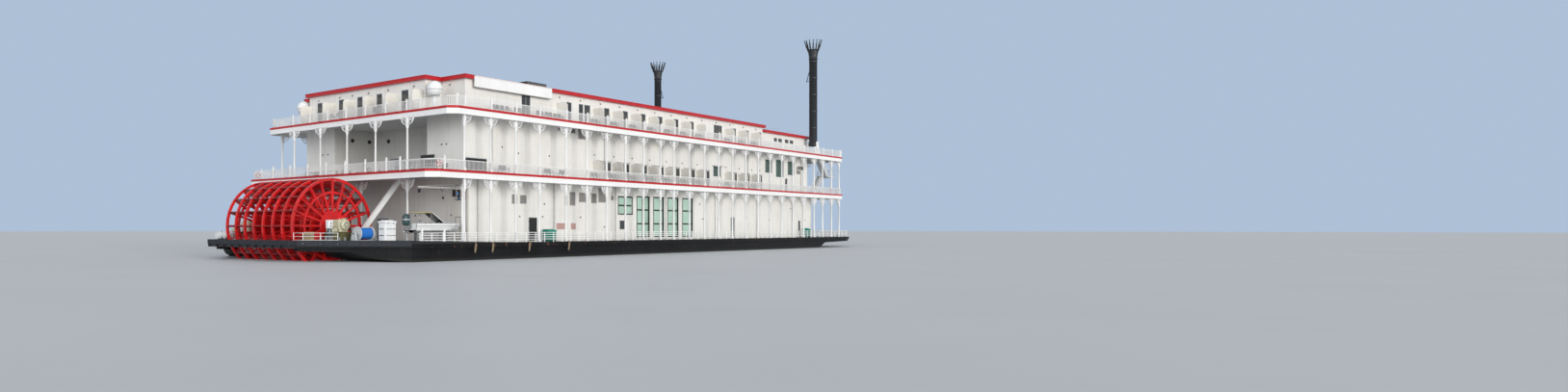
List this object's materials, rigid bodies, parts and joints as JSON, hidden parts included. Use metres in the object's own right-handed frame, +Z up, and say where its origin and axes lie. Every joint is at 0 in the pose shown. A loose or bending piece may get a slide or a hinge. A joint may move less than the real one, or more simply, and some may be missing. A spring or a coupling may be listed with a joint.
{
  "type": "sternwheel paddle steamer, 1:10 scale model",
  "caption": "River paddle steamer on a flat-bottomed hull, with arcaded decks, a red stern wheel between two arms and a pair of folding chimneys; a scale model at 1:10.",
  "frame": {"origin": "on the flat bottom of the hull, on the centreline, below the middle of the overall length", "axes": "+X to the bow, +Y to port, +Z up"},
  "size_m": [10.82, 3.27, 3.52],
  "materials": {
    "white_paint": "satin",
    "black_paint": "satin",
    "red_paint": "gloss",
    "deck_paint": "matte",
    "roof_paint": "satin",
    "machine_steel": "satin",
    "hose_blue": "matte",
    "moulded_white": "gloss",
    "door_paint": "satin"
  },
  "bodies": {
    "ship": {"hull": "black_paint", "main_deck": "deck_paint", "stern_beam": "black_paint", "wheel_bearing_starboard": "white_paint", "wheel_bearing_port": "white_paint", "wheel_drive_starboard": "machine_steel", "wheel_drive_port": "machine_steel", "wheel_brace_starboard": "white_paint", "wheel_brace_port": "white_paint", "hose_reel_stand": "white_paint", "raft_crate": "moulded_white", "deck_lockers": "white_paint", "raft_canisters": "moulded_white", "tender": "moulded_white", "outboard_motor": "black_paint", "crane_post": "white_paint", "main_house": "white_paint", "upper_house": "white_paint", "top_house": "white_paint", "roof": "roof_paint", "bridge_house": "white_paint", "bridge_roof": "roof_paint", "sign_board_starboard": "white_paint", "sign_board_port": "white_paint", "second_deck": "white_paint", "third_deck": "white_paint", "main_arcade_starboard": "white_paint", "main_arcade_port": "white_paint", "upper_arcade_starboard": "white_paint", "upper_arcade_port": "white_paint", "top_rail_starboard": "white_paint", "top_rail_port": "white_paint", "main_stern_posts": "white_paint", "upper_stern_posts": "white_paint", "main_bow_posts": "white_paint", "upper_bow_posts": "white_paint", "second_stern_rail": "white_paint", "third_stern_rail": "white_paint", "second_bow_rail": "white_paint", "third_bow_rail": "white_paint", "antenna_dome_starboard": "moulded_white", "antenna_dome_port": "moulded_white", "engine_starboard": "machine_steel", "engine_port": "machine_steel", "bow_stair_starboard": "white_paint", "bow_stair_port": "white_paint", "main_rail": "white_paint", "roof_vent": "black_paint", "deck_cabinet": "machine_steel"},
    "wheel": {"paddle_wheel": "red_paint"},
    "starboard_rudder": {"rudder_starboard": "machine_steel"},
    "port_rudder": {"rudder_port": "machine_steel"},
    "reel": {"hose_reel_drum": "hose_blue"},
    "boom": {"crane_boom": "white_paint"},
    "starboard_chimney": {"chimney_starboard": "black_paint"},
    "port_chimney": {"chimney_port": "black_paint"},
    "starboard_door": {"crew_door_starboard": "door_paint"},
    "port_door": {"crew_door_port": "door_paint"}
  },
  "joints": [
    {"name": "wheel_turn", "type": "hinge", "parent": "ship", "child": "wheel", "pos_m": [-4.817, 0, 0.533], "axis": [0, 1, 0], "continuous": true},
    {"name": "starboard_rudder_turn", "type": "hinge", "parent": "ship", "child": "starboard_rudder", "pos_m": [-4.15, -0.32, 0.1], "axis": [0, 0, 1], "range_deg": [-35, 35]},
    {"name": "port_rudder_turn", "type": "hinge", "parent": "ship", "child": "port_rudder", "pos_m": [-4.15, 0.32, 0.1], "axis": [0, 0, 1], "range_deg": [-35, 35]},
    {"name": "reel_turn", "type": "hinge", "parent": "ship", "child": "reel", "pos_m": [-4.84, -1.1, 0.462], "axis": [1, 0, 0], "continuous": true},
    {"name": "crane_slew", "type": "hinge", "parent": "ship", "child": "boom", "pos_m": [-3.82, -1.36, 0.9], "axis": [0, 0, 1], "range_deg": [-25, 40]},
    {"name": "starboard_chimney_fold", "type": "hinge", "parent": "ship", "child": "starboard_chimney", "pos_m": [3.83, -1.49, 1.86], "axis": [0, 1, 0], "range_deg": [0, 90]},
    {"name": "port_chimney_fold", "type": "hinge", "parent": "ship", "child": "port_chimney", "pos_m": [3.83, 1.49, 1.86], "axis": [0, 1, 0], "range_deg": [0, 90]},
    {"name": "starboard_door_swing", "type": "hinge", "parent": "ship", "child": "starboard_door", "pos_m": [-2.828, -1.3565, 0.5], "axis": [0, 0, -1], "range_deg": [0, 110]},
    {"name": "port_door_swing", "type": "hinge", "parent": "ship", "child": "port_door", "pos_m": [-2.828, 1.3565, 0.5], "axis": [0, 0, 1], "range_deg": [0, 110]}
  ],
  "couplings": [
    {"joint": "port_rudder_turn", "follows": "starboard_rudder_turn", "ratio": 1}
  ]
}
